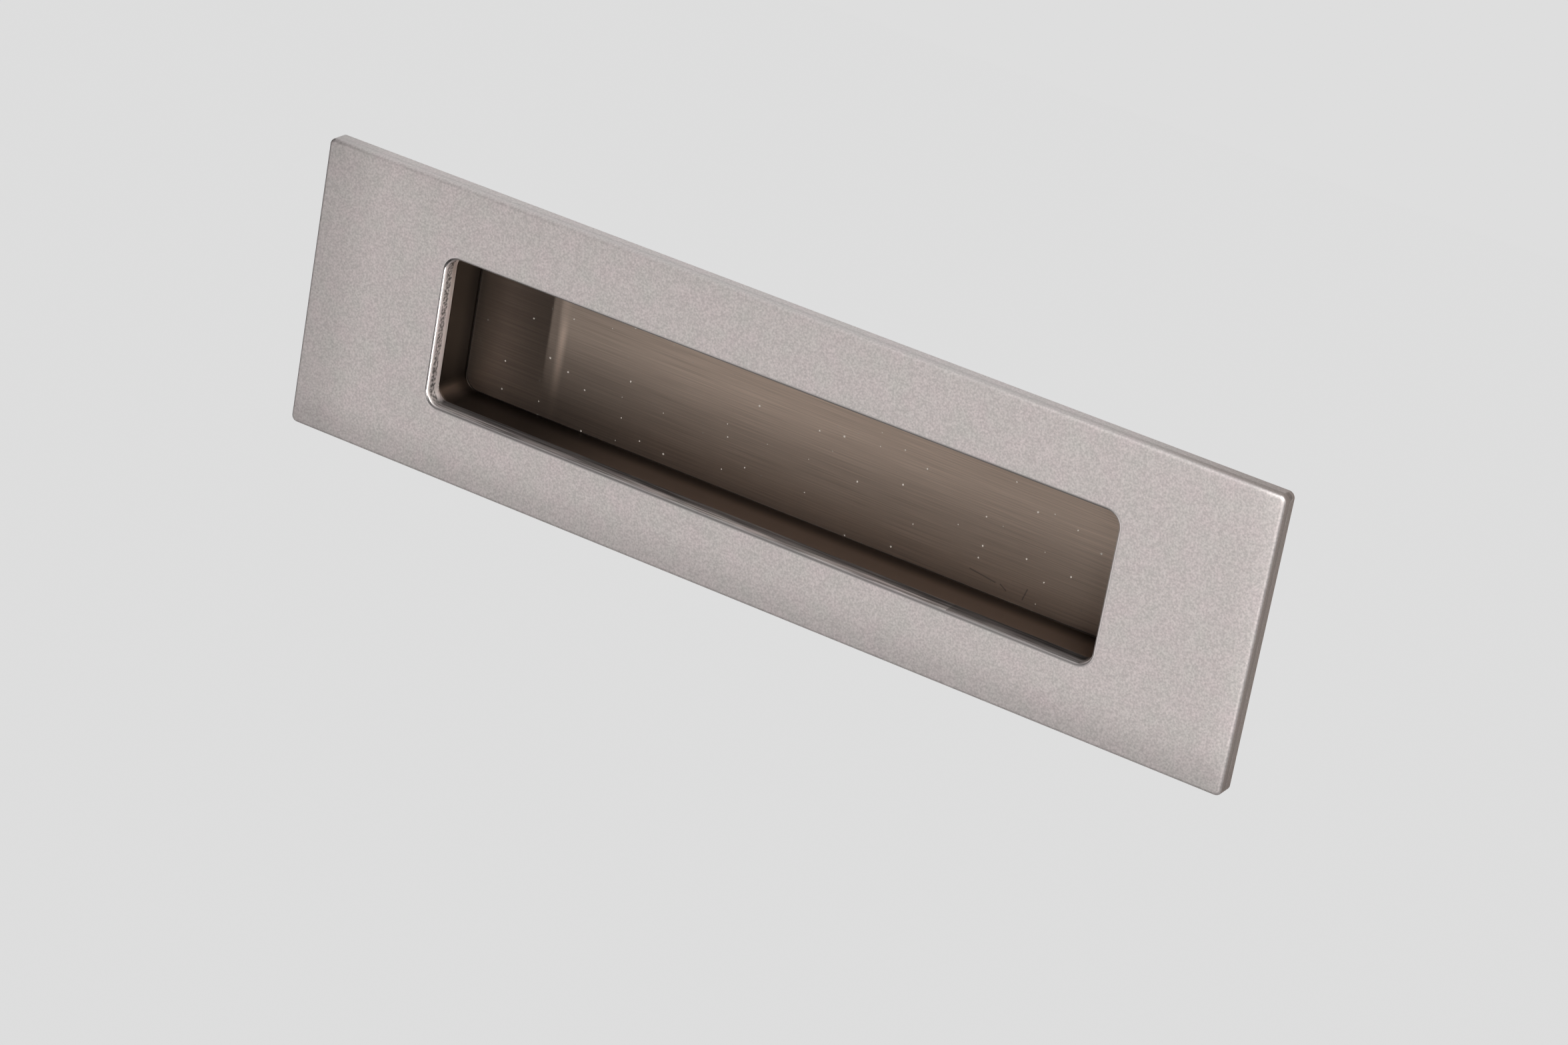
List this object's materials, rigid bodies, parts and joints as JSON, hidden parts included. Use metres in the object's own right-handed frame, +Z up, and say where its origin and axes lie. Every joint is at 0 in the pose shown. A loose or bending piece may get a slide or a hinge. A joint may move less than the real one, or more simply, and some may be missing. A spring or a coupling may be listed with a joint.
{
  "type": "flush pull",
  "caption": "Long flush pull with a satin die-cast face plate, a brushed pressed tray as finger recess, and tapped bosses on the back.",
  "frame": {"origin": "middle of the face plate's back, midway between the two fixing bosses, on the door's surface", "axes": "+X along the pull's length, +Z up, +Y into the door, so the face looks along -Y"},
  "size_m": [0.16, 0.0118, 0.046],
  "materials": {
    "satin_nickel": "fine blasted satin nickel on die-cast zinc",
    "brushed_sheet": "brushed stainless sheet, lines along the length",
    "zinc_plated": "bright zinc-plated steel screw"
  },
  "bodies": {
    "root": {"face_plate": "satin_nickel", "recess_tray": "brushed_sheet", "tray_screw_1": "zinc_plated", "tray_screw_2": "zinc_plated", "tray_screw_3": "zinc_plated", "tray_screw_4": "zinc_plated", "tray_screw_5": "zinc_plated", "tray_screw_6": "zinc_plated"}
  },
  "joints": []
}
